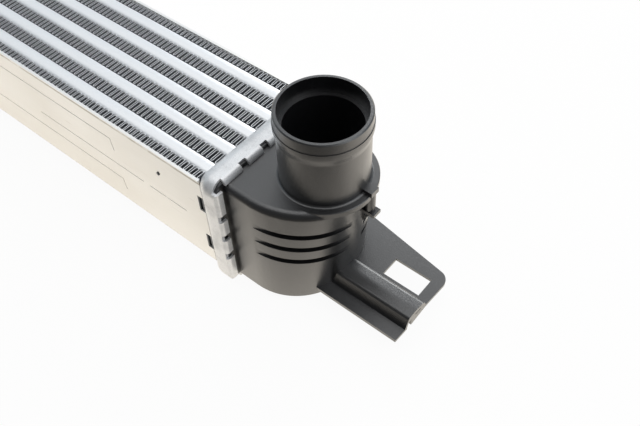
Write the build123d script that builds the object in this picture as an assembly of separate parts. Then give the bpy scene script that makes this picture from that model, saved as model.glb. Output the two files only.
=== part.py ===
from build123d import *

import math
import os

# Charge air cooler: a brazed tube-and-fin core between two crimped plastic end tanks.
# Millimetres. X runs along the core, Y across the stack of tubes, Z along the spigots.
# The origin is the middle of the underside; the header plates rest on Z = 0.

# Core
core_length = 520.0
core_depth = 86.0
tube_count = 5
tube_thickness = 8.9
tube_wall = 0.8
tube_corner = 1.4
tube_stub = 4.0
fin_height = 9.45
outer_fin_height = 6.85
fin_wave_count = 78
fin_sheet = 0.3
fin_setback = 0.6
braze_film = 0.05
turbulator_wave_count = 13
turbulator_sheet = 0.4

# Side plates
side_sheet = 1.0
side_lip = 0.9
side_foot_gap = 4.0
side_edge_round = 0.6
window_depth = 3.4
window_height = 14.0
window_pitch = 38.5
peg_hole_length = 5.2
peg_hole_width = 2.6
peg_hole_turn = -35.0
peg_hole_from_root = 39.3
peg_hole_below_top = 21.5
crease_depth = 0.4
crease_width = 0.8
crease_ends = 85.0
crease_drops = (18.4, 58.0)
crease_return = 10.5
scratch_drop = 43.3
scratch_runs = ((168.7, 59.8), (52.8, 37.9), (35.9, 18.9))

# Header plates
header_sheet = 1.8
header_rise = 6.3
header_side_margin = 3.4
header_depth = 18.6
header_corner = 10.0
header_root_bend = 9.5
tab_bend_top = 3.9
tab_bend_side = 2.8
tab_reach_side = 5.8
tab_reach_top = 4.1
notch_width = 5.8
notch_length_side = 1.9
notch_pitch = 18.8
notches_top = 4
notch_shift_top = 3.1
notches_side = 3
notch_shift_side = 1.2
corner_gap_side = 9.1
corner_gap_top = 6.6

# Sealing ring and the foot of the tank
seal_width = 2.8
seal_thickness = 3.0
seal_inset = 1.1
seal_lift = 3.0
fit_clearance = 0.3

# End tanks
tank_wall = 3.0
tank_gap_side = 2.3
tank_gap_top = 0.2
tank_gap_bottom = 1.2
tank_straight = 35.0
tank_nose_top = 86.5
tank_nose_bottom = 77.0
tank_top_round = 5.0
tank_bottom_round = 1.5
groove_count = 3
groove_height = 4.6
groove_pitch = 12.8
groove_first_drop = 21.0
groove_radius = 69.0
groove_start = 37.4
groove_end_offset = 5.5
groove_wall = 2.5

# Spigot
spigot_from_root = 57.2
spigot_offset = 1.5
spigot_height = 51.0
spigot_radius = 27.5
spigot_rim_radius = 28.2
spigot_bead_radius = 28.8
spigot_bead_drop = 7.2
spigot_bead_land = 3.4
spigot_bead_fall = 6.5
bead_line_depth = 0.4
bead_line_width = 0.8
spigot_mouth_radius = 25.85
spigot_mouth_depth = 11.8
spigot_bore_radius = 23.5
spigot_base_round = 1.7
rim_round = 0.7
ledge_round = 0.4
ledge_radius = 32.7
ledge_thickness = 4.0

# Hose clip lug at the nose of the ledge
lug_offset = 5.9
lug_width = 6.8
lug_overhang = 4.5
lug_foot_overhang = 6.5
lug_rise = 2.5
lug_slab = 3.6
lug_drop = 18.5
lug_foot = 2.6
lug_post_radius = 3.0
lug_rib_height = 10.5
lug_rib_width = 2.6

# Mounting bracket, moulded with the tank
bracket_plate_top = 18.3
bracket_sheet = 2.1
bracket_root_x = 54.0
bracket_reach_far = 135.0
bracket_reach_near = 132.9
bracket_shoulder_x = 62.0
bracket_far_at_shoulder = 42.2
bracket_far_at_end = 30.9
bracket_corner = 8.0
hump_far_edge = 5.0
hump_far_shoulder = (2.6, 5.7)
hump_crest = (-6.0, 6.5)
hump_near_shoulder = (-12.9, 5.0)
hump_near_edge = -16.2
hump_shoulder_round = 3.2
hump_crest_round = 14.0
leg_sheet = 2.0
leg_top = 19.0
hook_side = -9.9
hook_low = 12.8
strip_top = 14.3
strip_front_edge = -26.0
strip_bead = 0.6
hump_slot_length = 5.6
hump_slot_width = 0.9
hump_slot_place = (-3.4, 20.6)
bracket_window_start = 98.8
bracket_window_length = 27.7
bracket_window_near = 7.7
bracket_window_width = 14.7

# Values that follow from the sizes above
tube_pitch = tube_thickness + fin_height
core_bottom = header_rise
core_top = core_bottom + core_depth
core_middle = core_bottom + core_depth / 2
outer_tube_face = (tube_count - 1) / 2 * tube_pitch + tube_thickness / 2
side_inner_face = outer_tube_face + outer_fin_height
side_outer_face = side_inner_face + side_sheet
header_half_width = side_outer_face + header_side_margin
header_top = core_top + header_rise
tank_half_width = header_half_width - tab_reach_side - tank_gap_side
tank_bottom = tab_reach_top + tank_gap_bottom
tank_top = header_top - tab_reach_top - tank_gap_top
tank_height = tank_top - tank_bottom
seal_start = header_root_bend - seal_lift
foot_start = seal_start + seal_thickness
foot_end = header_depth - header_sheet - fit_clearance
lug_reach = tank_nose_top + lug_overhang
lug_foot_reach = tank_nose_top + lug_foot_overhang
root_x = core_length / 2
side_to_bend = header_root_bend - header_side_margin - side_sheet
side_reach = header_root_bend - math.sqrt(header_root_bend**2 - side_to_bend**2) - fit_clearance
overlap = 1.0

os.makedirs("parts", exist_ok=True)


def cuboid(x, y, z):
    """A box from the low and high value on each axis."""
    block = Box(x[1] - x[0], y[1] - y[0], z[1] - z[0])
    return Pos(sum(x) / 2, sum(y) / 2, sum(z) / 2) * block


def rounded_tube(length, width, height, radius):
    """A solid bar along X whose long edges are rounded, centred on the origin."""
    bar = Box(length, width, height)
    return fillet(bar.edges().filter_by(Axis.X), radius)


def zigzag_sheet(waves, length, height, sheet):
    """A folded sheet seen along its folds: a zigzag of even thickness as one closed face."""
    step = length / (2 * waves)
    slope = math.atan2(height, step)
    offset = sheet / math.cos(slope)
    rise = height - offset
    places = [(-length / 2 + step * i, rise * (i % 2)) for i in range(2 * waves + 1)]
    lower = [(x, y - height / 2) for x, y in places]
    upper = [(x, y - height / 2 + offset) for x, y in reversed(places)]
    return make_face(Polyline(*lower, *upper, close=True))


def tube():
    """A flat tube, open at both ends."""
    length = core_length + 2 * (header_sheet + tube_stub)
    shell = rounded_tube(length, tube_thickness, core_depth, tube_corner)
    room = rounded_tube(
        length + overlap,
        tube_thickness - 2 * tube_wall,
        core_depth - 2 * tube_wall,
        tube_corner - tube_wall,
    )
    return shell - room


def turbulator():
    """The folded strip inside a tube, its folds along the tube."""
    height = tube_thickness - 2 * (tube_wall + braze_film)
    depth = core_depth - 4 * tube_wall
    face = zigzag_sheet(turbulator_wave_count, depth, height, turbulator_sheet)
    strip = extrude(face, core_length / 2, both=True)
    return Rot(0, 90, 0) * strip


def fin(height):
    """The folded strip between two tubes, its folds along Z."""
    face = zigzag_sheet(fin_wave_count, core_length - fin_sheet, height - 2 * braze_film, fin_sheet)
    return extrude(face, core_depth / 2 - fin_setback, both=True)


def crease(start, end):
    """A fine line pressed in a side plate, from one point (x, drop below the top) to another."""
    (x0, drop0), (x1, drop1) = start, end
    run = math.hypot(x1 - x0, drop1 - drop0) + crease_width
    turn = math.degrees(math.atan2(drop1 - drop0, x1 - x0))
    line = Rot(0, turn, 0) * Box(run, 2 * crease_depth, crease_width)
    return Pos((x0 + x1) / 2, -side_outer_face, core_top - (drop0 + drop1) / 2) * line


def creases():
    """The pressed lines of the front side plate near its +X end."""
    lines = []
    for drop in crease_drops:
        turn = (root_x - crease_ends, drop)
        lines.append(crease((0, drop), turn))
        lines.append(crease(turn, (root_x - crease_ends + crease_width, drop + crease_return)))
    for far, near in scratch_runs:
        lines.append(crease((root_x - far, scratch_drop), (root_x - near, scratch_drop)))
    return lines


def side_plate():
    """The front side plate: a flat sheet with a turned-out top lip, pressed lines and notched ends."""
    end_x = root_x + side_reach
    x = (-end_x, end_x)
    low = core_bottom + side_foot_gap
    plate = cuboid(x, (-side_outer_face, -side_inner_face), (low, core_top))
    low_edges = plate.edges().filter_by(Axis.X).group_by(Axis.Z)[0]
    plate = fillet(low_edges.sort_by(Axis.Y)[0], side_edge_round)
    lip_face = (-side_outer_face - side_lip, -side_inner_face)
    plate += cuboid(x, lip_face, (core_top - side_sheet, core_top))
    for line in creases():
        plate -= line
        plate -= mirror(line, Plane.YZ)
    for middle in (core_middle - window_pitch / 2, core_middle + window_pitch / 2):
        z = (middle - window_height / 2, middle + window_height / 2)
        for end in (-1, 1):
            x = sorted((end * (end_x + overlap), end * (root_x - window_depth)))
            plate -= cuboid(x, (-header_half_width, 0), z)
    hole = SlotOverall(peg_hole_length, peg_hole_width, rotation=peg_hole_turn)
    place = Plane(
        origin=(root_x - peg_hole_from_root, 0, core_top - peg_hole_below_top), z_dir=(0, -1, 0)
    )
    return plate - extrude(place * hole, header_half_width)


def header_block(start, end, margin, root_bend):
    """A block the shape of the header, drawn in from its outside by a margin."""
    y = header_half_width - margin
    z = (margin, header_top - margin)
    block = cuboid((start, end), (-y, y), z)
    block = fillet(block.edges().filter_by(Axis.X), header_corner - margin)
    if root_bend:
        block = fillet(block.faces().sort_by(Axis.X)[0].edges(), root_bend)
    tall = cuboid((start, end), (-y, y), z)
    tall = fillet(tall.faces().sort_by(Axis.X)[-1].edges().filter_by(Axis.Z), tab_bend_side - margin)
    wide = cuboid((start, end), (-y, y), z)
    wide = fillet(wide.faces().sort_by(Axis.X)[-1].edges().filter_by(Axis.Y), tab_bend_top - margin)
    return block & tall & wide


def tab_notches():
    """The gaps between the crimp tabs: the top ones as long as their bend, the side ones in the lip."""
    top_x = (header_depth - tab_bend_top, header_depth + overlap)
    side_x = (header_depth - notch_length_side, header_depth + overlap)
    reach = header_half_width + overlap
    gaps = []
    for i in range(notches_top):
        y = (i - (notches_top - 1) / 2) * notch_pitch + notch_shift_top
        gaps.append(cuboid(top_x, (y - notch_width / 2, y + notch_width / 2), (-overlap, header_top + overlap)))
    for i in range(notches_side):
        z = core_middle + (i - (notches_side - 1) / 2) * notch_pitch + notch_shift_side
        gaps.append(cuboid(side_x, (-reach, reach), (z - notch_width / 2, z + notch_width / 2)))
    for side in (-1, 1):
        y = sorted((side * (header_half_width - corner_gap_side), side * reach))
        for z in ((-overlap, corner_gap_top), (header_top - corner_gap_top, header_top + overlap)):
            gaps.append(cuboid(top_x, y, z))
    return gaps


def header_plate():
    """The pressed header at the +X end, its root at X = 0: a slotted pan with crimp tabs."""
    pan = header_block(0, header_depth, 0, header_root_bend)
    pan -= header_block(
        header_sheet, header_depth - header_sheet, header_sheet, header_root_bend - header_sheet
    )
    half_y = header_half_width - tab_reach_side
    half_z = core_middle - tab_reach_top
    mouth = rounded_tube(header_depth, 2 * half_y, 2 * half_z, header_corner - tab_reach_side)
    pan -= Pos(header_depth, 0, core_middle) * mouth
    for gap in tab_notches():
        pan -= gap
    slot = rounded_tube(header_depth, tube_thickness, core_depth, tube_corner)
    for i in range(tube_count):
        pan -= Pos(0, (i - (tube_count - 1) / 2) * tube_pitch, core_middle) * slot
    return pan


def tank_seal():
    """The rubber ring between the header pan and the foot of the tank."""
    outer_width = 2 * (header_half_width - header_sheet - seal_inset)
    outer_height = 2 * (core_middle - header_sheet - seal_inset)
    corner = header_corner - header_sheet - seal_inset
    ring = rounded_tube(seal_thickness, outer_width, outer_height, corner)
    ring -= rounded_tube(
        seal_thickness + overlap,
        outer_width - 2 * seal_width,
        outer_height - 2 * seal_width,
        corner - seal_width,
    )
    return Pos(seal_start + seal_thickness / 2, 0, core_middle) * ring


def tank_outline(start, inset, nose):
    """The plan of a tank: straight sides, then half an ellipse round the nose."""
    half = tank_half_width - inset
    near = Line((start, -half), (tank_straight, -half))
    reach = nose - inset - tank_straight
    bend = EllipticalCenterArc((tank_straight, 0), reach, half, -90, arc_size=180)
    far = Line((tank_straight, half), (start, half))
    back = Line((start, half), (start, -half))
    return make_face(near + bend + far + back)


def tank_nose(level):
    """How far the nose reaches at a height: it narrows from top to bottom."""
    return tank_nose_top - (tank_nose_top - tank_nose_bottom) * (tank_top - level) / tank_height


def tank_body(start, inset):
    """The tank's body, or the room in it."""
    sections = [
        Plane.XY.offset(level) * tank_outline(start, inset, tank_nose(level))
        for level in (tank_bottom + inset, tank_top - inset)
    ]
    body = loft(sections, ruled=True)
    rims = body.edges().filter_by(lambda e: e.center().X > start + overlap)
    top = rims.group_by(Axis.Z)[-1]
    body = fillet(top, tank_top_round - inset)
    rims = body.edges().filter_by(lambda e: e.center().X > start + overlap)
    return fillet(rims.group_by(Axis.Z)[0], tank_bottom_round)


def tank_foot():
    """The foot that the crimp tabs hold: a thick rounded flange round the open side."""
    return header_block(foot_start, foot_end, header_sheet + fit_clearance, 0)


def spigot_profile():
    """Half the section of the spigot and its ledge, in the XZ plane from the axis."""
    rim = tank_top + spigot_height
    ledge_low = tank_top - ledge_thickness
    neck = tank_top + spigot_base_round
    bead_top = rim - spigot_bead_drop
    bead_low = bead_top - spigot_bead_land
    notch = spigot_bead_radius - bead_line_depth
    inner = spigot_bore_radius
    outline = Polyline(
        (inner, ledge_low),
        (ledge_radius, ledge_low),
        (ledge_radius, tank_top - ledge_round),
        (ledge_radius - ledge_round, tank_top),
        (spigot_radius + spigot_base_round, tank_top),
    )
    outline += RadiusArc(
        (spigot_radius + spigot_base_round, tank_top), (spigot_radius, neck), spigot_base_round
    )
    outline += Polyline(
        (spigot_radius, neck),
        (spigot_radius, bead_low - spigot_bead_fall),
        (spigot_bead_radius, bead_low),
        (spigot_bead_radius, bead_top),
        (notch, bead_top),
        (notch, bead_top + bead_line_width),
        (spigot_rim_radius, rim - rim_round),
        (spigot_rim_radius - rim_round, rim),
        (spigot_mouth_radius, rim),
        (spigot_mouth_radius, rim - spigot_mouth_depth),
        (inner, rim - spigot_mouth_depth),
        (inner, ledge_low),
    )
    return make_face(outline)


def spigot():
    """The hose spigot with its ledge, on the tank's top."""
    turned = revolve(Plane.XZ * spigot_profile(), Axis.Z)
    return Pos(spigot_from_root, spigot_offset, 0) * turned


def hose_clip_lug():
    """Two slabs joined by a rounded post, which keep the hose clip in place."""
    y = (lug_offset - lug_width / 2, lug_offset + lug_width / 2)
    top = tank_top + lug_rise
    base = spigot_from_root + spigot_bore_radius + overlap
    foot_top = tank_top - lug_drop + lug_foot
    lug = cuboid((base, lug_reach), y, (top - lug_slab, top))
    lug += cuboid((tank_straight + tank_half_width, lug_foot_reach), y, (foot_top - lug_foot, foot_top))
    post = Cylinder(lug_post_radius, top - foot_top, align=(Align.CENTER, Align.CENTER, Align.MIN))
    place = Pos(lug_reach - lug_post_radius, lug_offset, foot_top - overlap)
    web = cuboid(
        (tank_straight + tank_half_width, lug_reach - lug_post_radius),
        (lug_offset - lug_post_radius / 2, lug_offset + lug_post_radius / 2),
        (foot_top - overlap, top - overlap),
    )
    rib_top = foot_top - lug_foot
    rib_root = tank_nose(rib_top - lug_rib_height) - overlap
    rib = make_face(
        Polyline(
            (rib_root, rib_top),
            (lug_foot_reach - lug_post_radius, rib_top),
            (tank_nose(rib_top - lug_rib_height), rib_top - lug_rib_height),
            (rib_root, rib_top - lug_rib_height),
            close=True,
        )
    )
    gusset = Pos(0, lug_offset, 0) * extrude(Plane.XZ * rib, lug_rib_width / 2, both=True)
    return lug + place * post + web + gusset


def groove_centre(level):
    """Where a groove's circle is centred, so that it runs out at both ends of its corner."""
    reach = tank_nose(level) - tank_straight
    end_share = math.sqrt(1 - (groove_end_offset / tank_half_width) ** 2)
    ends = (
        Vector(groove_start, tank_half_width),
        Vector(tank_straight + reach * end_share, groove_end_offset),
    )
    chord = ends[1] - ends[0]
    back = math.sqrt(groove_radius**2 - (chord.length / 2) ** 2)
    return (ends[0] + ends[1]) / 2 + Vector(chord.Y, -chord.X).normalized() * back


def groove_limit(level, radius, height):
    """The round bar that a groove, or the room behind it, stays outside or inside."""
    centre = groove_centre(level)
    return Pos(centre.X, centre.Y, level) * Cylinder(radius, height)


def groove(level):
    """One curved groove round the rear corner of the tank: deep in the middle, nothing at its tips."""
    slab = cuboid(
        (0, tank_nose_top + tank_half_width),
        (0, tank_nose_top + tank_half_width),
        (level - groove_height / 2, level + groove_height / 2),
    )
    return slab - groove_limit(level, groove_radius, groove_height + overlap)


def bracket_section():
    """The bracket's section across X: lower strip, leg, thick hump and flat plate in one line."""
    plate_low = bracket_plate_top - bracket_sheet
    strip_low = strip_top - leg_sheet
    humps = [(y, bracket_plate_top + z) for y, z in (hump_far_shoulder, hump_crest, hump_near_shoulder)]
    outline = Polyline(
        (strip_front_edge, strip_low),
        (hump_near_edge + leg_sheet, strip_low),
        (hump_near_shoulder[0], leg_top),
        (hook_side, leg_top),
        (hook_side, hook_low),
        (hump_far_edge, plate_low),
        (tank_half_width, plate_low),
        (tank_half_width, bracket_plate_top),
        (hump_far_edge, bracket_plate_top),
        *humps,
        (hump_near_edge, strip_top),
        (strip_front_edge + strip_bead, strip_top),
        (strip_front_edge + strip_bead, strip_top + strip_bead),
        (strip_front_edge, strip_top + strip_bead),
        close=True,
    )
    face = make_face(outline)
    rounds = (hump_shoulder_round, hump_crest_round, hump_shoulder_round)
    for place, radius in zip(humps, rounds):
        face = fillet(face.vertices().sort_by_distance(place)[0], radius)
    slot = Pos(*hump_slot_place) * Rectangle(hump_slot_length, hump_slot_width)
    return face - slot


def bracket_plan():
    """The bracket's outline from above, with its window."""
    outline = Polyline(
        (bracket_root_x, strip_front_edge),
        (bracket_reach_near, strip_front_edge),
        (bracket_reach_far, bracket_far_at_end),
        (bracket_shoulder_x, bracket_far_at_shoulder),
        (bracket_root_x, tank_half_width - 2 * tank_wall),
        close=True,
    )
    face = make_face(outline)
    corner = face.vertices().sort_by_distance((bracket_reach_far, bracket_far_at_end))[0]
    window = Pos(
        bracket_window_start + bracket_window_length / 2,
        bracket_window_near + bracket_window_width / 2,
    ) * Rectangle(bracket_window_length, bracket_window_width)
    return fillet(corner, bracket_corner) - window


def bracket():
    """The bracket from the tank's nose outwards, cut to its outline."""
    length = bracket_reach_far + overlap - bracket_root_x
    bar = extrude(Plane.YZ.offset(bracket_root_x) * bracket_section(), length)
    return bar & extrude(bracket_plan(), core_middle)


def groove_levels():
    """The height of each groove."""
    return [tank_top - groove_first_drop - i * groove_pitch for i in range(groove_count)]


def tank_room():
    """The hollow inside a tank: its own form drawn in, clear of the grooves, with the bore."""
    limit = groove_limit(min(groove_levels()), groove_radius - groove_wall, 2 * header_top)
    room = tank_body(foot_start - overlap, tank_wall) & limit & mirror(limit, Plane.XZ)
    bore = Cylinder(
        spigot_bore_radius, 2 * ledge_thickness, align=(Align.CENTER, Align.CENTER, Align.MAX)
    )
    return room + Pos(spigot_from_root, spigot_offset, tank_top) * bore


def tank():
    """One moulding: body, foot, spigot with its ledge, clip lug, grooves and bracket."""
    body = tank_body(foot_start, 0) + tank_foot() + bracket() + spigot() + hose_clip_lug()
    for level in groove_levels():
        cut = groove(level)
        body -= cut
        body -= mirror(cut, Plane.XZ)
    return body - tank_room()


def write(name, solid):
    """One STEP file for each piece."""
    export_step(solid, f"parts/{name}.step")


def write_core():
    """Tubes, the strips in them, the fins between them and the side plates."""
    one_tube = Pos(0, 0, core_middle) * tube()
    one_turbulator = Pos(0, 0, core_middle) * turbulator()
    inner_fin = Pos(0, 0, core_middle) * fin(fin_height)
    outer_fin = Pos(0, 0, core_middle) * fin(outer_fin_height)
    for i in range(tube_count):
        y = (i - (tube_count - 1) / 2) * tube_pitch
        write(f"tube_{i + 1}", Pos(0, y, 0) * one_tube)
        write(f"turbulator_{i + 1}", Pos(0, y, 0) * one_turbulator)
    outer_middle = outer_tube_face + outer_fin_height / 2
    write("fin_1", Pos(0, -outer_middle, 0) * outer_fin)
    for i in range(1, tube_count):
        write(f"fin_{i + 1}", Pos(0, (i - tube_count / 2) * tube_pitch, 0) * inner_fin)
    write(f"fin_{tube_count + 1}", Pos(0, outer_middle, 0) * outer_fin)
    plate = side_plate()
    write("side_plate_front", plate)
    write("side_plate_rear", mirror(plate, Plane.XZ))


def write_ends():
    """A header plate, a sealing ring and a tank at each end, one the mirror of the other."""
    pieces = {"header_plate": header_plate(), "tank_seal": tank_seal(), "end_tank": tank()}
    for name, piece in pieces.items():
        placed = Pos(root_x, 0, 0) * piece
        write(f"{name}_right", placed)
        write(f"{name}_left", mirror(placed, Plane.YZ))


write_core()
write_ends()
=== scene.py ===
import math

import bmesh
import bpy
from bpy.props import FloatProperty, FloatVectorProperty, IntProperty, PointerProperty
from bpy.types import Operator, Panel, PropertyGroup
from mathutils import Matrix, Vector, noise


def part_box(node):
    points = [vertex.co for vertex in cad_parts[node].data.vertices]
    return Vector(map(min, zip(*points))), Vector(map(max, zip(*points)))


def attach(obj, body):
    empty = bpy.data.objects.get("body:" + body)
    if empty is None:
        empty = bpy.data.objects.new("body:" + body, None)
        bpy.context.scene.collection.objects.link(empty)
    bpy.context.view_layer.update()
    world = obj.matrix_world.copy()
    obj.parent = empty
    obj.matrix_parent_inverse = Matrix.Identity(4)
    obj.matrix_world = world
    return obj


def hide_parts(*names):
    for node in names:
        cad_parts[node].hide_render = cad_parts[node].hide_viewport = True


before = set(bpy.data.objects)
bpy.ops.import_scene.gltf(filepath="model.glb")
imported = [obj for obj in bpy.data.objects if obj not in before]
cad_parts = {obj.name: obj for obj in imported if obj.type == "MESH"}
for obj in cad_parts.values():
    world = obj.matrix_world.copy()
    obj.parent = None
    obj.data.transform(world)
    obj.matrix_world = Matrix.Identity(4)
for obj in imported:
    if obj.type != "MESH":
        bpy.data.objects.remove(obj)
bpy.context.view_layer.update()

bl_info = {
    "name": "Charge Air Cooler",
    "version": (1, 0, 0),
    "blender": (4, 5, 0),
    "location": "View3D > Sidebar > Cooler",
    "description": "Dresses a packed charge air cooler: fine fins, finishes, stage and camera",
    "category": "Object",
}

TUBE_COUNT = 5
TUBES = [f"tube_{i + 1}" for i in range(TUBE_COUNT)]
TURBULATORS = [f"turbulator_{i + 1}" for i in range(TUBE_COUNT)]
FINS = [f"fin_{i + 1}" for i in range(TUBE_COUNT + 1)]
SIDE_PLATES = ["side_plate_front", "side_plate_rear"]
HEADERS = ["header_plate_left", "header_plate_right"]
SEALS = ["tank_seal_left", "tank_seal_right"]
TANKS = ["end_tank_left", "end_tank_right"]

UP = (0.0, 0.0, 1.0)
WHITE = (1.0, 1.0, 1.0, 1.0)
BLACK = (0.0, 0.0, 0.0, 1.0)

# Colours of the marks on the finishes, among them the painted shade under a side plate's lip and along its
# foot
TUBE_SCRATCH = (0.55, 0.58, 0.62, 1.0)
PLATE_SCRATCH = (0.55, 0.52, 0.46, 1.0)
PLATE_CLOUD = (0.95, 0.925, 0.87, 1.0)
LIP_SHADE_AND_DIRT = (0.30, 0.26, 0.20, 1.0)
FOOT_SHADE = (0.42, 0.32, 0.20, 1.0)
DUST = (0.25, 0.25, 0.25, 1.0)

# Painted shade with dirt smudges under a side plate's lip, in metres: how far its line lies below the plate's
# top, and its spread
LIP_SHADE_AND_DIRT_DEPTH = 0.0034
LIP_SHADE_AND_DIRT_SPREAD = 0.0016
# How high the painted shade along that plate's foot reaches, in metres
FOOT_SHADE_HEIGHT = 0.0014

# Rows of vertices from the bottom of a fin strip to its top, as shares of its depth
FIN_LEVELS = (0.0, 0.88, 0.97, 1.0)
# Shares of that depth, from the top down, over which the push and the painted highlight on the far bends fade
PUSH_DEPTH = 0.12
BEND_HIGHLIGHT_DEPTH = 0.04
# The push of the fins' top edges: cells to the metre along X and Y, of its wide drift and of its fine one
WIDE_PUSH = (90.0, 60.0)
FINE_PUSH = (420.0, 30.0)
# The fine drift's share, and how many times as far as the others the front row is pushed
FINE_PUSH_SHARE = 0.5
FRONT_ROW_PUSH = 2.0
# How near the ends of two folds are when they are joined, as a share of the sheet
FIN_JOIN_SHARE = 0.1
# Brightness of the folded sheet's back, as a share of its front's: painted shade that darkens every other
# gap's walls
FIN_BACK_SHADE_SHARE = 0.6

# How near two corners of a CAD mesh are joined, in metres, and how flat an edge is dissolved
JOIN_DISTANCE = 1e-6
FLAT_ANGLE = math.radians(0.5)
# How sharp an edge is that is rounded, and in how many steps
SHARP_ANGLE = math.radians(32.0)
EDGE_STEPS = 2

# The light tent: the way to its open front, and the rise at which its bright top starts and is full
TENT_FRONT = (0.25, -0.96, -0.08)
TENT_TOP = (0.55, 0.82)

# How far the floor reaches from the middle, in metres, and how much of what is seen of it is its glow
FLOOR_REACH = 6.0
GLOW_SHARE = 0.94
# The glow in reflections: two stretches, in metres, over which shares of it fade, and the share that lasts
FIRST_FADE = (0.15, 0.21)
FIRST_FADE_SHARE = 0.5
SECOND_FADE = (0.21, 0.29)
SECOND_FADE_SHARE = 0.4
LASTING_SHARE = 0.1

# Square soft lamps: places, targets and sizes in metres, power in watts
LAMPS = {
    "top_lamp": {"place": (0.10, -0.10, 1.5), "target": (0.2, 0.0, 0.05), "size": 1.0, "power": 1.5},
    "side_lamp": {"place": (1.2, 0.2, 0.9), "target": (0.3, 0.0, 0.05), "size": 0.8, "power": 2.0},
    "back_lamp": {"place": (-0.15, 1.15, 0.6), "target": (0.35, 0.0, 0.05), "size": 0.6, "power": 6.0},
}

# The camera's sensor in millimetres, and the nearest that it sees in metres
SENSOR_WIDTH = 36.0
NEAREST_SEEN = 0.01

# Sockets of a Mix node that mixes colours
MIX_FIRST = 6
MIX_SECOND = 7
MIX_RESULT = 2


# Settings


class CoolerFinSettings(PropertyGroup):
    """Sizes of the folded fin strips."""

    pitch: FloatProperty(
        name="Fold pitch",
        description="Length of one whole fold along the tube",
        default=0.00392,
        unit="LENGTH",
    )
    sheet: FloatProperty(
        name="Sheet", description="Thickness of the folded sheet", default=0.00042, unit="LENGTH"
    )
    near_bend: FloatProperty(
        name="Near bend", description="Radius of the folds on the front side", default=0.00074, unit="LENGTH"
    )
    far_bend: FloatProperty(
        name="Far bend", description="Radius of the folds on the rear side", default=0.00120, unit="LENGTH"
    )
    bend_steps: IntProperty(
        name="Bend steps", description="Straight runs in one bend", default=6, min=2, max=12
    )
    foot: FloatProperty(
        name="Foot",
        description="How far the outer strips end above the side plates' foot",
        default=0.0012,
        unit="LENGTH",
    )
    push: FloatProperty(
        name="Push",
        description="How far handling has pushed the top edges along the tube",
        default=0.00035,
        unit="LENGTH",
    )


class CoolerSheetSettings(PropertyGroup):
    """Sizes of the tubes' noses and walls, and of the edges of plates and mouldings."""

    nose: FloatProperty(
        name="Nose", description="How far a tube's long edge is crowned", default=0.0016, unit="LENGTH"
    )
    nose_steps: IntProperty(
        name="Nose steps", description="Straight runs round both noses of a tube", default=28, min=12, max=64
    )
    hidden_end: FloatProperty(
        name="Hidden end",
        description="Length of a tube's end that a header hides",
        default=0.004,
        unit="LENGTH",
    )
    tube_wall: FloatProperty(
        name="Tube wall", description="Thickness of a tube's wall", default=0.0008, unit="LENGTH"
    )
    cut_edge: FloatProperty(
        name="Cut edge", description="Rounding of the edges of pressed sheet", default=0.0002, unit="LENGTH"
    )
    mould_edge: FloatProperty(
        name="Mould edge",
        description="Rounding of the edges of the moulded tanks",
        default=0.00025,
        unit="LENGTH",
    )


class CoolerFinishSettings(PropertyGroup):
    """Colours of the finishes."""

    tube: FloatVectorProperty(
        name="Tube",
        description="Colour of the bright rolled tubes",
        subtype="COLOR",
        size=4,
        default=(0.97, 0.98, 0.99, 1.0),
    )
    fin: FloatVectorProperty(
        name="Fin",
        description="Colour of the folded fin sheet",
        subtype="COLOR",
        size=4,
        default=(0.36, 0.375, 0.40, 1.0),
    )
    # Painted highlight: the cut edges are given a far brighter colour than the sheet they are cut from
    fin_edge_highlight: FloatVectorProperty(
        name="Fin edge",
        description="Colour of the bright cut edges of the fins",
        subtype="COLOR",
        size=4,
        default=(0.90, 0.91, 0.93, 1.0),
    )
    plate: FloatVectorProperty(
        name="Side plate",
        description="Colour of the side plates",
        subtype="COLOR",
        size=4,
        default=(0.97, 0.965, 0.945, 1.0),
    )
    header: FloatVectorProperty(
        name="Header",
        description="Colour of the pressed header plates",
        subtype="COLOR",
        size=4,
        default=(0.83, 0.835, 0.84, 1.0),
    )
    plastic: FloatVectorProperty(
        name="Tank plastic",
        description="Colour of the glass-filled moulding",
        subtype="COLOR",
        size=4,
        default=(0.0075, 0.0075, 0.0085, 1.0),
    )
    rubber: FloatVectorProperty(
        name="Seal rubber",
        description="Colour of the sealing rings",
        subtype="COLOR",
        size=4,
        default=(0.012, 0.012, 0.012, 1.0),
    )


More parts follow.
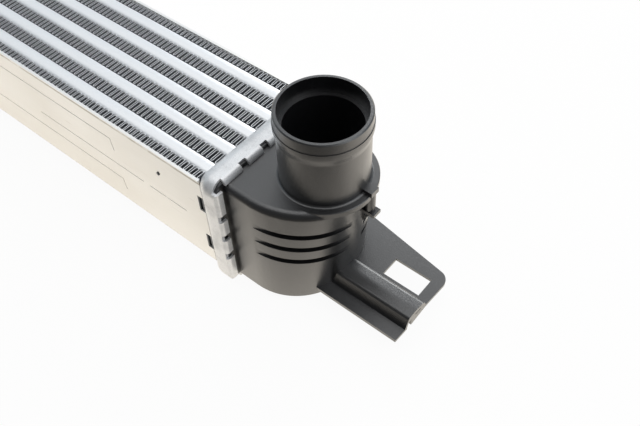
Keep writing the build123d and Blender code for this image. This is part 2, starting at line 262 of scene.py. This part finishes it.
class CoolerStageSettings(PropertyGroup):
    """Camera, floor and even light."""

    camera_place: FloatVectorProperty(
        name="Camera place",
        description="Where the camera stands",
        subtype="TRANSLATION",
        default=(0.51433, -0.23059, 0.43465),
    )
    camera_heading: FloatProperty(
        name="Heading",
        description="Direction the camera looks in, about Z from +X",
        subtype="ANGLE",
        default=math.radians(131.101),
    )
    camera_dip: FloatProperty(
        name="Dip", description="How far the camera looks down", subtype="ANGLE", default=math.radians(51.250)
    )
    camera_roll: FloatProperty(
        name="Roll",
        description="Turn of the camera about its own line of sight",
        subtype="ANGLE",
        default=math.radians(-2.435),
    )
    camera_lens: FloatProperty(
        name="Lens", description="Focal length in millimetres on a 36 mm sensor", default=43.296
    )
    floor: FloatVectorProperty(
        name="Floor",
        description="Colour of the floor",
        subtype="COLOR",
        size=4,
        default=(0.95, 0.93, 0.90, 1.0),
    )
    floor_glow: FloatVectorProperty(
        name="Floor glow",
        description="Colour of the floor in reflections",
        subtype="COLOR",
        size=4,
        default=(1.20, 1.12, 1.00, 1.0),
    )
    front: FloatVectorProperty(
        name="Front",
        description="Direction along which the floor's glow fades",
        size=3,
        default=(0.35, -0.94, 0.0),
    )
    world: FloatProperty(
        name="World light", description="Strength of the even light from all round", default=0.82
    )
    sky: FloatVectorProperty(
        name="Sky",
        description="Colour of the even light from above",
        subtype="COLOR",
        size=4,
        default=(1.28, 1.295, 1.31, 1.0),
    )
    sky_low: FloatVectorProperty(
        name="Low sky",
        description="Colour of the even light near the horizon",
        subtype="COLOR",
        size=4,
        default=(0.58, 0.65, 0.71, 1.0),
    )
    open_from: FloatProperty(
        name="Front opens", description="Cosine to the front at which the tent starts to darken", default=0.05
    )
    open_to: FloatProperty(
        name="Front open", description="Cosine to the front at which the tent is fully open", default=0.55
    )
    open_share: FloatProperty(
        name="Front share", description="Share of the light that the open front gives", default=0.12
    )


# Shader maths


class Value:
    """A socket of a finish. Arithmetic on it adds Math nodes."""

    def __init__(self, finish, socket):
        self.finish = finish
        self.socket = socket

    def operate(self, operation, first, second):
        return self.finish.node("ShaderNodeMath", {"operation": operation}, {0: first, 1: second})

    def __add__(self, other):
        return self.operate("ADD", self, other)

    def __radd__(self, other):
        return self.operate("ADD", other, self)

    def __sub__(self, other):
        return self.operate("SUBTRACT", self, other)

    def __rsub__(self, other):
        return self.operate("SUBTRACT", other, self)

    def __mul__(self, other):
        return self.operate("MULTIPLY", self, other)

    def __rmul__(self, other):
        return self.operate("MULTIPLY", other, self)

    def clamp(self):
        """The value kept from 0 to 1."""
        return self.finish.node("ShaderNodeClamp", {}, {"Value": self})

    def between(self, low, high):
        """0 below low, 1 above high, and a straight ramp between them."""
        limits = {"Value": self, "From Min": low, "From Max": high}
        return self.finish.node("ShaderNodeMapRange", {"clamp": True}, limits)


class Finish:
    """A material or a world, with the methods that add its nodes."""

    def __init__(self, name, kind="materials"):
        self.owner = getattr(bpy.data, kind).new(name)
        self.owner.use_nodes = True
        self.tree = self.owner.node_tree
        self.tree.nodes.clear()

    def node(self, kind, settings, inputs, output=0):
        """Adds a node: its settings first, then the values or links of its sockets."""
        made = self.tree.nodes.new(kind)
        for name, value in settings.items():
            setattr(made, name, value)
        for name, value in inputs.items():
            if isinstance(value, Value):
                self.tree.links.new(value.socket, made.inputs[name])
            else:
                made.inputs[name].default_value = value
        return Value(self, made.outputs[output]) if len(made.outputs) else None

    def place(self, scale=(1.0, 1.0, 1.0)):
        """The point on the piece, in metres, stretched by a scale."""
        point = self.node("ShaderNodeTexCoord", {}, {}, "Object")
        return self.node("ShaderNodeMapping", {}, {"Vector": point, "Scale": scale})

    def noise(self, scale, stretch=(1.0, 1.0, 1.0), detail=2.0, roughness=0.5):
        """Even noise from 0 to 1, so many cells to the metre."""
        inputs = {"Vector": self.place(stretch), "Scale": scale, "Detail": detail, "Roughness": roughness}
        return self.node("ShaderNodeTexNoise", {}, inputs)

    def specks(self, scale, size, core=0.6):
        """Small round specks: 1 in a speck's core, 0 round the speck."""
        cells = self.node("ShaderNodeTexVoronoi", {}, {"Vector": self.place(), "Scale": scale})
        return 1 - cells.between(size * core, size)

    def along(self, point, direction):
        """How far a point lies along a direction."""
        inputs = {0: point, 1: direction}
        return self.node("ShaderNodeVectorMath", {"operation": "DOT_PRODUCT"}, inputs, "Value")

    def ray(self, kind):
        """1 for a ray of a kind, 0 for the others."""
        return self.node("ShaderNodeLightPath", {}, {}, f"Is {kind} Ray")

    def mix(self, mask, first, second, share=1.0):
        """The first colour where the mask is 0, and the second, or a share of it, where it is 1."""
        inputs = {"Factor": mask * share, MIX_FIRST: first, MIX_SECOND: second}
        return self.node("ShaderNodeMix", {"data_type": "RGBA"}, inputs, MIX_RESULT)

    def bump(self, height, strength, distance, under=None):
        """A bump from a height, on top of another one."""
        inputs = {"Height": height, "Strength": strength, "Distance": distance}
        if under is not None:
            inputs["Normal"] = under
        return self.node("ShaderNodeBump", {}, inputs)

    def surface(self, **inputs):
        """The Principled surface, which ends the finish, and the finished material."""
        names = {key.replace("_", " ").title().replace("Ior", "IOR"): value for key, value in inputs.items()}
        shader = self.node("ShaderNodeBsdfPrincipled", {}, names)
        self.node("ShaderNodeOutputMaterial", {}, {"Surface": shader})
        return self.owner


def tint(colour, factor):
    """A colour made lighter or darker."""
    return (*(min(1.0, channel * factor) for channel in colour[:3]), 1.0)


# Finishes


def rolled_tube(colours):
    """Bright rolled sheet: fine lines along the tube, dull patches of flux, scratches and shallow dents."""
    finish = Finish("rolled_tube")
    lines = finish.noise(1400.0, stretch=(0.02, 1.0, 1.0), detail=3.0)
    patches = finish.noise(45.0, stretch=(0.35, 1.0, 1.0), detail=4.0, roughness=0.6)
    dull = patches.between(0.52, 0.72)
    colour = finish.mix(dull, tuple(colours.tube), tint(colours.tube, 0.9), share=0.4)
    colour = finish.mix(lines.between(0.45, 0.8), colour, tint(colours.tube, 0.8), share=0.15)
    scratches = finish.noise(800.0, stretch=(0.06, 1.0, 0.9), detail=2.0, roughness=0.7).between(0.74, 0.78)
    colour = finish.mix(scratches, colour, TUBE_SCRATCH, share=0.4)
    dents = finish.noise(160.0, stretch=(0.3, 1.0, 1.0), detail=2.0)
    bump = finish.bump(lines, strength=0.1, distance=0.0002)
    bump = finish.bump(dents, strength=0.12, distance=0.0006, under=bump)
    return finish.surface(base_color=colour, metallic=0.6, roughness=dull * 0.10 + 0.38, normal=bump)


def folded_fin(colours, name="folded_fin", share=1.0):
    """Thin folded sheet with faint stains, its colour scaled by a share, which paints shade on a darker copy,
    and with a painted highlight, as bright as the cut edges, on the far bends' tops where the mesh marks
    them.
    """
    finish = Finish(name)
    stain = finish.noise(300.0, stretch=(1.0, 1.0, 0.3), detail=3.0)
    stained = tint(colours.fin, 0.7 * share)
    colour = finish.mix(stain.between(0.45, 0.7), tint(colours.fin, share), stained, share=0.5)
    # Painted highlight: the tops of the far bends, marked in the mesh, take the bright edge colour
    bend_highlight = finish.node("ShaderNodeAttribute", {"attribute_name": "bend_highlight"}, {}, "Fac")
    colour = finish.mix(bend_highlight, colour, tuple(colours.fin_edge_highlight))
    return finish.surface(base_color=colour, metallic=0.7, roughness=stain * 0.2 + 0.35)


def lit_fin_edge(colours):
    """The edges of the folded sheet, brighter than the sheet as a painted highlight where they face up,
    duller in patches where flux has dried on them.
    """
    finish = Finish("lit_fin_edge")
    flux = finish.noise(120.0, stretch=(0.5, 1.0, 1.0), detail=3.0)
    dried = tint(colours.fin_edge_highlight, 0.72)
    colour = finish.mix(flux.between(0.4, 0.7), tuple(colours.fin_edge_highlight), dried, share=0.6)
    return finish.surface(base_color=colour, metallic=0.35, roughness=flux * 0.2 + 0.35)


def side_sheet(colours):
    """Dull white sheet: warm clouds, rolling lines, scratches, painted shade and dirt under its lip, painted
    shade along its foot.
    """
    finish = Finish("side_sheet")
    cloud = finish.noise(9.0, stretch=(1.0, 1.0, 1.6), detail=3.0, roughness=0.5)
    warm = cloud.between(0.38, 0.68)
    colour = finish.mix(warm, tuple(colours.plate), PLATE_CLOUD, share=0.6)
    lines = finish.noise(900.0, stretch=(0.03, 1.0, 1.0), detail=3.0)
    colour = finish.mix(lines.between(0.5, 0.8), colour, tint(colours.plate, 0.82), share=0.15)
    scratches = finish.noise(520.0, stretch=(0.04, 1.0, 0.9), detail=2.0, roughness=0.7).between(0.72, 0.76)
    colour = finish.mix(scratches, colour, PLATE_SCRATCH, share=0.3)
    low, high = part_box(SIDE_PLATES[0])
    height = finish.along(finish.place(), UP)
    below_lip = high[2] - LIP_SHADE_AND_DIRT_DEPTH
    rising = height.between(below_lip - LIP_SHADE_AND_DIRT_SPREAD, below_lip)
    falling = height.between(below_lip, below_lip + LIP_SHADE_AND_DIRT_SPREAD)
    broken = finish.noise(60.0, stretch=(0.4, 1.0, 1.0), detail=4.0, roughness=0.7).between(0.36, 0.52)
    # A broken dark line under the lip: painted shade of its crease, with dirt smudges
    colour = finish.mix((rising - falling) * broken, colour, LIP_SHADE_AND_DIRT, share=0.8)
    # Darker towards the foot: painted shade where the plate's edge turns under
    under = 1 - height.between(low[2], low[2] + FOOT_SHADE_HEIGHT)
    colour = finish.mix(under, colour, FOOT_SHADE, share=0.6)
    waves = finish.noise(16.0, stretch=(0.5, 1.0, 1.0), detail=2.0)
    bump = finish.bump(lines, strength=0.1, distance=0.0002)
    bump = finish.bump(waves, strength=0.2, distance=0.002, under=bump)
    return finish.surface(base_color=colour, metallic=0.75, roughness=warm * 0.08 + 0.42, normal=bump)


def pressed_header(colours):
    """Satin pressed sheet with a fine grain and grey rubs."""
    finish = Finish("pressed_header")
    grain = finish.noise(2600.0, detail=2.0)
    rub = finish.noise(70.0, detail=4.0, roughness=0.65)
    grey = rub.between(0.45, 0.7)
    colour = finish.mix(grey, tint(colours.header, 1.12), tint(colours.header, 0.78), share=0.7)
    colour = finish.mix(grain.between(0.5, 0.7), colour, tint(colours.header, 0.55), share=0.5)
    bump = finish.bump(grain, strength=0.3, distance=0.0001)
    bump = finish.bump(rub, strength=0.2, distance=0.0006, under=bump)
    return finish.surface(base_color=colour, metallic=0.55, roughness=grey * 0.12 + 0.36, normal=bump)


def glass_filled_plastic(colours):
    """Black moulding with a fine sparked skin, faint flow clouds and a few pale dust specks."""
    finish = Finish("glass_filled_plastic")
    spark = finish.noise(1300.0, detail=3.0, roughness=0.6)
    flow = finish.noise(38.0, stretch=(1.0, 1.0, 0.5), detail=4.0, roughness=0.6)
    streak = flow.between(0.40, 0.68)
    dust = finish.specks(420.0, size=0.08) * finish.noise(60.0).between(0.60, 0.66)
    colour = finish.mix(streak, tint(colours.plastic, 0.9), tint(colours.plastic, 1.3))
    colour = finish.mix(spark.between(0.55, 0.8), colour, tint(colours.plastic, 2.0), share=0.35)
    colour = finish.mix(dust, colour, DUST)
    bump = finish.bump(spark, strength=0.6, distance=0.0002)
    bump = finish.bump(flow, strength=0.1, distance=0.0008, under=bump)
    return finish.surface(
        base_color=colour,
        metallic=0.0,
        roughness=streak * 0.06 + 0.30,
        specular_ior_level=1.0,
        coat_weight=0.75,
        coat_roughness=0.32,
        normal=bump,
    )


def seal_rubber(colours):
    """Matt moulded rubber."""
    finish = Finish("seal_rubber_skin")
    grain = finish.noise(900.0)
    bump = finish.bump(grain, strength=0.3, distance=0.0001)
    return finish.surface(base_color=tuple(colours.rubber), roughness=grain * 0.2 + 0.6, normal=bump)


# Steps that the pieces share


def dress(objects, material):
    """Gives each object one material."""
    for dressed in objects:
        dressed.data.materials.clear()
        dressed.data.materials.append(material)


def finished(mesh, name, material, node):
    """A finished bmesh as an object that rides on the frame and stands for a CAD node."""
    data = bpy.data.meshes.new(name)
    mesh.to_mesh(data)
    mesh.free()
    piece = bpy.data.objects.new(name, data)
    bpy.context.scene.collection.objects.link(piece)
    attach(piece, "root")
    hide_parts(node)
    dress([piece], material)
    return piece


def rounded_copy(node, material, width):
    """Stands for a CAD node: its triangles joined, its sharp edges rounded and its flats kept flat."""
    mesh = bmesh.new()
    mesh.from_mesh(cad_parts[node].data)
    bmesh.ops.remove_doubles(mesh, verts=mesh.verts, dist=JOIN_DISTANCE)
    bmesh.ops.dissolve_limit(mesh, angle_limit=FLAT_ANGLE, verts=mesh.verts, edges=mesh.edges)
    for face in mesh.faces:
        face.smooth = True
    piece = finished(mesh, f"{node}_shell", material, node)
    bevel = piece.modifiers.new("edges", "BEVEL")
    bevel.width = width
    bevel.segments = EDGE_STEPS
    bevel.limit_method = "ANGLE"
    bevel.angle_limit = SHARP_ANGLE
    bevel.harden_normals = True
    flats = piece.modifiers.new("flats", "WEIGHTED_NORMAL")
    flats.keep_sharp = True


def of_type(kind, geometry):
    """The vertices or the edges among the parts that a bmesh operator made."""
    return [part for part in geometry if isinstance(part, kind)]


def drawn_out(mesh, rim, shift):
    """Extrudes a rim of edges, moves the new rim by a shift and returns its edges."""
    made = bmesh.ops.extrude_edge_only(mesh, edges=rim)["geom"]
    bmesh.ops.translate(mesh, verts=of_type(bmesh.types.BMVert, made), vec=shift)
    return of_type(bmesh.types.BMEdge, made)


# Fins


def fin_wave(mesh, pitch, height, fins):
    """One whole fold as a line of vertices: up, round the far bend, down, round the near bend."""
    near, far = fins.near_bend, fins.far_bend
    # Each vertex carries a painted highlight weight: 1 round the far bend, 0 elsewhere
    shine = mesh.verts.layers.float.new("bend_highlight")
    path = [mesh.verts.new((0.0, -height / 2 + near, 0.0))]
    run = height - near - far
    lean = (pitch - 2 * (near + far)) / 2

    def grow(shift, bend_highlight):
        made = bmesh.ops.extrude_vert_indiv(mesh, verts=[path[-1]])
        path.append(made["verts"][0])
        path[-1][shine] = bend_highlight
        bmesh.ops.translate(mesh, verts=[path[-1]], vec=shift)

    for side, bend in ((1, far), (-1, near)):
        grow((lean, side * run, 0.0), 0.0)
        for step in range(fins.bend_steps):
            start = math.pi * step / fins.bend_steps
            stop = math.pi * (step + 1) / fins.bend_steps
            along = bend * (math.cos(start) - math.cos(stop))
            across = side * bend * (math.sin(stop) - math.sin(start))
            last = step + 1 == fins.bend_steps
            grow((along, across, 0.0), 0.0 if last or side < 0 else 1.0)


def waviness(point, cells):
    """Smooth noise from -1 to 1 at a point, with so many cells to the metre along X and Y."""
    return noise.noise((point.x * cells[0], point.y * cells[1], 0.0))


def fine_fin(node, fins):
    """A bmesh of one fin strip in its node's box: a fold repeated along X, then drawn up along Z."""
    low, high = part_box(node)
    if node in (FINS[0], FINS[-1]):
        low = Vector((low.x, low.y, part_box(SIDE_PLATES[0])[0][2] + fins.foot))
    size = high - low
    count = round(size.x / fins.pitch)
    pitch = size.x / count
    mesh = bmesh.new()
    fin_wave(mesh, pitch, size.y - fins.sheet, fins)
    one = mesh.verts[:] + mesh.edges[:]
    for i in range(1, count):
        made = bmesh.ops.duplicate(mesh, geom=one)["geom"]
        bmesh.ops.translate(mesh, verts=of_type(bmesh.types.BMVert, made), vec=(i * pitch, 0.0, 0.0))
    bmesh.ops.remove_doubles(mesh, verts=mesh.verts, dist=fins.sheet * FIN_JOIN_SHARE)
    rim = mesh.edges[:]
    for below, above in zip(FIN_LEVELS, FIN_LEVELS[1:]):
        rim = drawn_out(mesh, rim, (0.0, 0.0, (above - below) * size.z))
    bmesh.ops.translate(mesh, verts=mesh.verts, vec=(low.x, (low.y + high.y) / 2, low.z))
    shine = mesh.verts.layers.float["bend_highlight"]
    push = fins.push * (FRONT_ROW_PUSH if node == FINS[0] else 1.0)
    for vertex in mesh.verts:
        depth = (high.z - vertex.co.z) / size.z
        drift = waviness(vertex.co, WIDE_PUSH) + FINE_PUSH_SHARE * waviness(vertex.co, FINE_PUSH)
        vertex.co.x += push * drift * max(0.0, 1.0 - depth / PUSH_DEPTH)
        # The painted highlight fades out just below the top of the strip
        vertex[shine] *= max(0.0, 1.0 - depth / BEND_HIGHLIGHT_DEPTH)
    return mesh


class COOLER_OT_fins(Operator):
    """Replaces the coarse fin strips with finely folded ones"""

    bl_idname = "cooler.fins"
    bl_label = "Fins"

    def execute(self, context):
        colours = context.scene.cooler_finishes
        front = folded_fin(colours)
        # A darker copy of the fin finish for the sheet's back faces: painted shade
        back = folded_fin(colours, "folded_fin_shaded_back", FIN_BACK_SHADE_SHARE)
        # The rims of the sheet get the bright edge finish: a painted highlight
        cut_edge = lit_fin_edge(colours)
        fins = context.scene.cooler_fins
        for node in FINS:
            piece = finished(fine_fin(node, fins), f"fine_{node}", front, node)
            piece.data.materials.append(cut_edge)
            piece.data.materials.append(back)
            sheet = piece.modifiers.new("sheet", "SOLIDIFY")
            sheet.thickness = fins.sheet
            sheet.offset = 0.0
            sheet.material_offset_rim = piece.data.materials.find(cut_edge.name)
            sheet.material_offset = piece.data.materials.find(back.name)
        return {"FINISHED"}


# Tubes and side plates


def crowned_tube(node, sheets):
    """A bmesh of one tube in its node's box: an oval section drawn along X, open at both ends."""
    low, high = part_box(node)
    size = high - low
    step = math.pi / sheets.nose_steps
    mesh = bmesh.new()
    turn = Matrix.Rotation(math.pi / 2, 4, "Y") @ Matrix.Rotation(step, 4, "Z")
    bmesh.ops.create_circle(mesh, segments=sheets.nose_steps, radius=0.5 / math.cos(step), matrix=turn)
    bmesh.ops.scale(mesh, verts=mesh.verts, vec=(1.0, size.y, 2 * sheets.nose * math.cos(step)))
    straight = size.z / 2 - sheets.nose
    for side in (-1, 1):
        half = [vertex for vertex in mesh.verts if side * vertex.co.z > 0]
        bmesh.ops.translate(mesh, verts=half, vec=(0.0, 0.0, side * straight))
    rim = mesh.edges[:]
    for length in (sheets.hidden_end, size.x - 2 * sheets.hidden_end, sheets.hidden_end):
        rim = drawn_out(mesh, rim, (length, 0.0, 0.0))
    bmesh.ops.translate(mesh, verts=mesh.verts, vec=(low.x, (low.y + high.y) / 2, (low.z + high.z) / 2))
    bmesh.ops.recalc_face_normals(mesh, faces=mesh.faces)
    for face in mesh.faces:
        face.smooth = True
    return mesh


class COOLER_OT_tubes(Operator):
    """Makes the crowned tubes and finishes the strips inside them"""

    bl_idname = "cooler.tubes"
    bl_label = "Tubes"

    def execute(self, context):
        colours = context.scene.cooler_finishes
        bright = rolled_tube(colours)
        sheets = context.scene.cooler_sheets
        for node in TUBES:
            piece = finished(crowned_tube(node, sheets), f"crowned_{node}", bright, node)
            wall = piece.modifiers.new("wall", "SOLIDIFY")
            wall.thickness = sheets.tube_wall
            wall.offset = -1.0
        dress([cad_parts[node] for node in TURBULATORS], folded_fin(colours, "tube_strip"))
        return {"FINISHED"}


class COOLER_OT_side_plates(Operator):
    """Rounds the edges of the side plates and finishes them"""

    bl_idname = "cooler.side_plates"
    bl_label = "Side plates"

    def execute(self, context):
        dull = side_sheet(context.scene.cooler_finishes)
        for node in SIDE_PLATES:
            rounded_copy(node, dull, context.scene.cooler_sheets.cut_edge)
        return {"FINISHED"}


# Header plates, seals and tanks


class COOLER_OT_headers(Operator):
    """Rounds the edges of the header plates and finishes them and the sealing rings"""

    bl_idname = "cooler.headers"
    bl_label = "Header plates"

    def execute(self, context):
        colours = context.scene.cooler_finishes
        satin = pressed_header(colours)
        for node in HEADERS:
            rounded_copy(node, satin, context.scene.cooler_sheets.cut_edge)
        dress([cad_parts[node] for node in SEALS], seal_rubber(colours))
        return {"FINISHED"}


class COOLER_OT_tanks(Operator):
    """Rounds the edges of the end tanks and finishes them"""

    bl_idname = "cooler.tanks"
    bl_label = "End tanks"

    def execute(self, context):
        black = glass_filled_plastic(context.scene.cooler_finishes)
        for node in TANKS:
            rounded_copy(node, black, context.scene.cooler_sheets.mould_edge)
        return {"FINISHED"}


# Stage


def white_floor(stage):
    """A floor, white to the camera but for a soft shadow, whose reflection fades towards the front."""
    finish = Finish("white_floor")
    camera = finish.ray("Camera")
    seen = camera + finish.ray("Glossy") + finish.ray("Transmission")
    ahead = finish.along(finish.place(), tuple(stage.front))
    first = (1 - ahead.between(*FIRST_FADE)) * FIRST_FADE_SHARE
    second = (1 - ahead.between(*SECOND_FADE)) * SECOND_FADE_SHARE
    faded = finish.mix(first + second + LASTING_SHARE, BLACK, tuple(stage.floor_glow))
    shown = finish.mix(camera, faded, WHITE)
    lit = finish.node("ShaderNodeBsdfDiffuse", {}, {"Color": tuple(stage.floor)})
    glow = finish.node("ShaderNodeEmission", {}, {"Color": shown, "Strength": 1.0})
    both = finish.node("ShaderNodeMixShader", {}, {0: seen.clamp() * GLOW_SHARE, 1: lit, 2: glow})
    finish.node("ShaderNodeOutputMaterial", {}, {"Surface": both})
    return finish.owner


def tent_light(stage):
    """A light tent: bright above, bluish low down, dark at its open front, and plain white to the camera."""
    finish = Finish("tent_light", "worlds")
    direction = finish.node("ShaderNodeTexCoord", {}, {}, "Generated")
    above = finish.along(direction, UP).between(*TENT_TOP)
    front = finish.along(direction, TENT_FRONT).between(stage.open_from, stage.open_to)
    walls = finish.mix(above, tuple(stage.sky_low), tuple(stage.sky))
    colour = finish.mix(front, walls, tint(stage.sky, stage.open_share))
    light = finish.node("ShaderNodeBackground", {}, {"Color": colour, "Strength": stage.world})
    white = finish.node("ShaderNodeBackground", {}, {"Color": WHITE, "Strength": 1.0})
    both = finish.node("ShaderNodeMixShader", {}, {0: finish.ray("Camera"), 1: light, 2: white})
    finish.node("ShaderNodeOutputWorld", {}, {"Surface": both})
    return finish.owner


def place_floor(stage):
    """A wide floor under the cooler."""
    mesh = bmesh.new()
    bmesh.ops.create_grid(mesh, x_segments=1, y_segments=1, size=FLOOR_REACH)
    data = bpy.data.meshes.new("floor")
    mesh.to_mesh(data)
    mesh.free()
    floor = bpy.data.objects.new("floor", data)
    bpy.context.scene.collection.objects.link(floor)
    dress([floor], white_floor(stage))


def place_lamp(name, place, target, size, power):
    """A square soft lamp that looks at a point."""
    data = bpy.data.lights.new(name, "AREA")
    data.size = size
    data.energy = power
    lamp = bpy.data.objects.new(name, data)
    lamp.location = place
    lamp.rotation_euler = (Vector(target) - Vector(place)).to_track_quat("-Z", "Y").to_euler()
    bpy.context.scene.collection.objects.link(lamp)


def aim(camera, place, heading, dip, roll):
    """Puts the camera at a place, looking along a heading and down by a dip, then rolled."""
    ahead = Vector((math.cos(heading) * math.cos(dip), math.sin(heading) * math.cos(dip), -math.sin(dip)))
    right = ahead.cross(Vector(UP)).normalized()
    up = right.cross(ahead)
    turned = right * math.cos(roll) + up * math.sin(roll)
    upright = up * math.cos(roll) - right * math.sin(roll)
    matrix = Matrix((turned, upright, -ahead)).transposed().to_4x4()
    matrix.translation = place
    camera.matrix_world = matrix


def place_camera(stage):
    """The camera that took the photograph."""
    camera = bpy.data.objects.new("camera", bpy.data.cameras.new("camera"))
    camera.data.sensor_width = SENSOR_WIDTH
    camera.data.lens = stage.camera_lens
    camera.data.clip_start = NEAREST_SEEN
    bpy.context.scene.collection.objects.link(camera)
    aim(camera, Vector(stage.camera_place), stage.camera_heading, stage.camera_dip, stage.camera_roll)
    bpy.context.scene.camera = camera


class COOLER_OT_stage(Operator):
    """Adds the floor, the lamps, the even light and the camera"""

    bl_idname = "cooler.stage"
    bl_label = "Stage"

    def execute(self, context):
        stage = context.scene.cooler_stage
        place_floor(stage)
        for name, values in LAMPS.items():
            place_lamp(name, **values)
        context.scene.world = tent_light(stage)
        place_camera(stage)
        context.scene.view_settings.view_transform = "Standard"
        return {"FINISHED"}


# Panel and registration

SETTINGS = {
    "cooler_fins": CoolerFinSettings,
    "cooler_sheets": CoolerSheetSettings,
    "cooler_finishes": CoolerFinishSettings,
    "cooler_stage": CoolerStageSettings,
}
STEPS = (
    COOLER_OT_fins,
    COOLER_OT_tubes,
    COOLER_OT_side_plates,
    COOLER_OT_headers,
    COOLER_OT_tanks,
    COOLER_OT_stage,
)


class COOLER_PT_panel(Panel):
    """Lists the cooler's settings and steps"""

    bl_idname = "COOLER_PT_panel"
    bl_label = "Charge air cooler"
    bl_space_type = "VIEW_3D"
    bl_region_type = "UI"
    bl_category = "Cooler"

    def draw(self, context):
        for name, group in SETTINGS.items():
            box = self.layout.box()
            for setting in group.__annotations__:
                box.prop(getattr(context.scene, name), setting)
        for step in STEPS:
            self.layout.operator(step.bl_idname)


def register():
    for group in SETTINGS.values():
        bpy.utils.register_class(group)
    for name, group in SETTINGS.items():
        setattr(bpy.types.Scene, name, PointerProperty(type=group))
    for step in (*STEPS, COOLER_PT_panel):
        bpy.utils.register_class(step)


def unregister():
    for step in reversed((*STEPS, COOLER_PT_panel)):
        bpy.utils.unregister_class(step)
    for name in SETTINGS:
        delattr(bpy.types.Scene, name)
    for group in reversed(SETTINGS.values()):
        bpy.utils.unregister_class(group)


def main():
    register()
    bpy.ops.cooler.fins()
    bpy.ops.cooler.tubes()
    bpy.ops.cooler.side_plates()
    bpy.ops.cooler.headers()
    bpy.ops.cooler.tanks()
    bpy.ops.cooler.stage()


if __name__ == "__main__":
    main()
